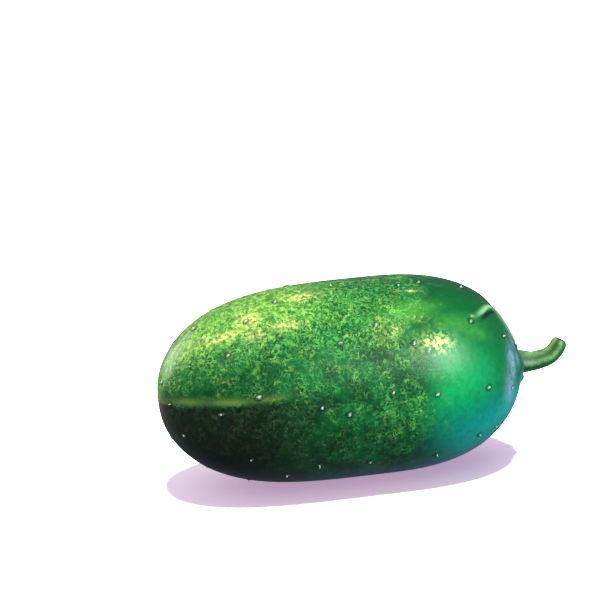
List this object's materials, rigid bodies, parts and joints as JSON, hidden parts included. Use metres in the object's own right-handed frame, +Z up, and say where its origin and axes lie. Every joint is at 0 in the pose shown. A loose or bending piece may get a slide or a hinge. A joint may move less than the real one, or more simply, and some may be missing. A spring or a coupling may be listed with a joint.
{
  "type": "gherkin",
  "caption": "Plump picked gherkin lying on its belly, with scattered warts, a folded shoulder and a short curved stem.",
  "frame": {"origin": "on the small flat of the belly that the fruit rests on, under the middle of its length", "axes": "+X along the fruit from the blossom end to the stem, +Z up"},
  "size_m": [0.1077, 0.052, 0.0509],
  "materials": {
    "skin": "waxy glossy green skin, smooth at the stem, finely mottled yellow-green towards the blossom end",
    "stem_rind": "matt light green ridged rind, dry and darker at the cut end",
    "spine": "pale dry prickles on the warts"
  },
  "bodies": {
    "root": {"fruit": "skin", "stem": "stem_rind"}
  },
  "joints": []
}
